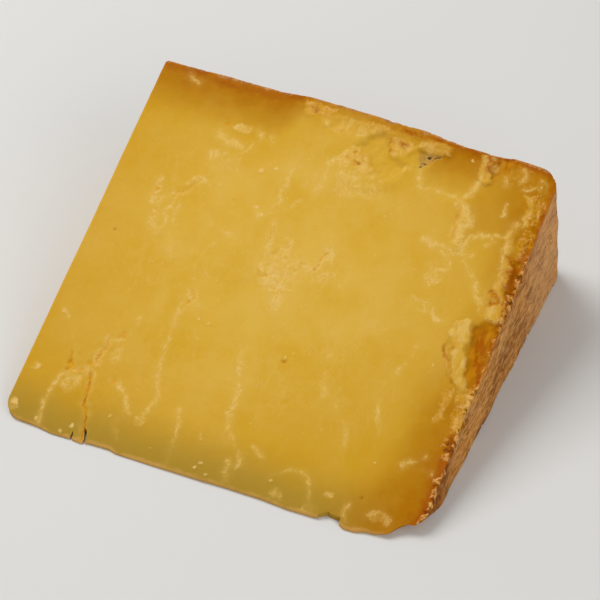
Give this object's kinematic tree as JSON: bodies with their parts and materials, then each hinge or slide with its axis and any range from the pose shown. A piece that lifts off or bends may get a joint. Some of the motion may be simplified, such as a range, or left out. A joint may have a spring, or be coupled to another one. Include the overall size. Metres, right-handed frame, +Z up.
{
  "type": "cheddar wedge",
  "caption": "Wedge of aged cheddar cut as a sector from a tall wheel, lying on one cut face, with a thin crumbly tip edge and a dry brown rind on its outer side and flat end.",
  "frame": {"origin": "on the surface it stands on, under the middle of the wedge's box", "axes": "+X along the wheel's axis from the clean cross cut to the rind of the flat end, +Y from the thin tip to the outer rind, +Z up from the cut it lies on"},
  "size_m": [0.1583, 0.1548, 0.0571],
  "materials": {
    "cheddar": "waxy golden yellow cheese, slightly moist sheen, with pale veins, amber edges and a dry pinkish brown rind"
  },
  "bodies": {
    "root": {"cheddar_wedge": "cheddar"}
  },
  "joints": []
}
